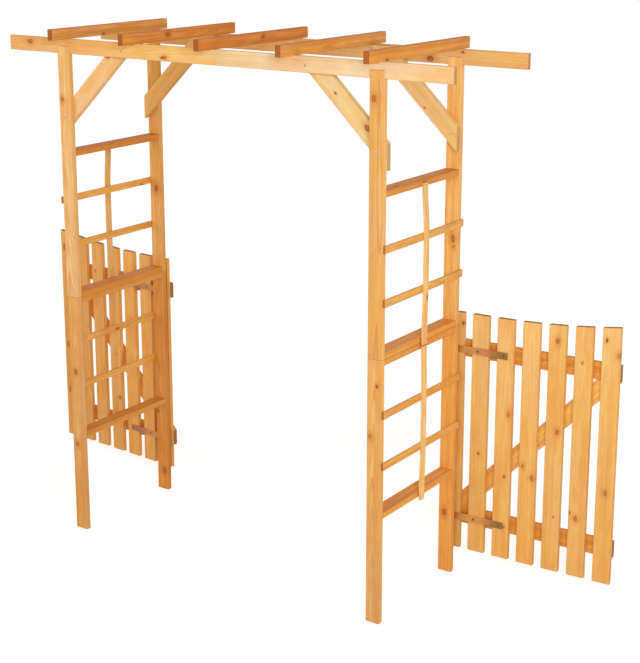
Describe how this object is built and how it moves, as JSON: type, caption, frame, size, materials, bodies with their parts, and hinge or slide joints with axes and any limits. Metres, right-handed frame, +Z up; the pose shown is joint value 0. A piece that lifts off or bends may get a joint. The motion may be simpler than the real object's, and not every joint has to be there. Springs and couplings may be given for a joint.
{
  "type": "garden arch",
  "caption": "Timber garden arch: boards for posts, lap-jointed beams, notched rafters, ladder trellis sides, and a pair of picket gates on strap hinges.",
  "frame": {"origin": "on the ground, midway between the four posts", "axes": "+X across the passage to the right as seen from the front, +Y from front to rear, where the gates hang, +Z up"},
  "size_m": [2.7923, 0.7141, 2.097],
  "materials": {
    "post_pine": "honey-stained pine, satin",
    "beam_pine": "pale honey-stained pine, satin",
    "rafter_pine": "deep orange stained pine with darker end grain, satin",
    "brace_pine": "honey-stained pine, satin",
    "lath_pine": "honey-stained pine, satin",
    "picket_pine": "honey-stained pine with small knots, satin",
    "gate_frame_pine": "honey-stained pine, satin",
    "hinge_zinc": "yellow-passivated zinc plate"
  },
  "bodies": {
    "arch": {"front_left_post_lower": "post_pine", "front_left_post_upper": "post_pine", "front_right_post_lower": "post_pine", "front_right_post_upper": "post_pine", "rear_left_post_lower": "post_pine", "rear_left_post_upper": "post_pine", "rear_right_post_lower": "post_pine", "rear_right_post_upper": "post_pine", "left_bottom_rail": "rafter_pine", "left_lower_middle_rail": "rafter_pine", "left_upper_middle_rail": "rafter_pine", "left_top_rail": "rafter_pine", "right_bottom_rail": "rafter_pine", "right_lower_middle_rail": "rafter_pine", "right_upper_middle_rail": "rafter_pine", "right_top_rail": "rafter_pine", "left_cross_laths": "lath_pine", "left_upright_laths": "lath_pine", "right_cross_laths": "lath_pine", "right_upright_laths": "lath_pine", "front_beam_left": "beam_pine", "front_beam_right": "beam_pine", "rear_beam_left": "beam_pine", "rear_beam_right": "beam_pine", "rafter_1": "rafter_pine", "rafter_2": "rafter_pine", "rafter_3": "rafter_pine", "rafter_4": "rafter_pine", "rafter_5": "rafter_pine", "front_left_brace": "brace_pine", "front_right_brace": "brace_pine", "rear_left_brace": "brace_pine", "rear_right_brace": "brace_pine", "left_hinge_plates": "hinge_zinc", "right_hinge_plates": "hinge_zinc"},
    "left_gate": {"left_gate_pickets": "picket_pine", "left_gate_lower_rail": "gate_frame_pine", "left_gate_upper_rail": "gate_frame_pine", "left_gate_diagonal": "gate_frame_pine", "left_gate_straps": "hinge_zinc"},
    "right_gate": {"right_gate_pickets": "picket_pine", "right_gate_lower_rail": "gate_frame_pine", "right_gate_upper_rail": "gate_frame_pine", "right_gate_diagonal": "gate_frame_pine", "right_gate_straps": "hinge_zinc"}
  },
  "joints": [
    {"name": "left_gate_hinge", "type": "hinge", "parent": "arch", "child": "left_gate", "pos_m": [-0.701, 0.27898, 0.573], "axis": [0, 0, -1], "range_deg": [-4.3, 175.7]},
    {"name": "right_gate_hinge", "type": "hinge", "parent": "arch", "child": "right_gate", "pos_m": [0.701, 0.27898, 0.573], "axis": [0, 0, 1], "range_deg": [-3, 177]}
  ]
}
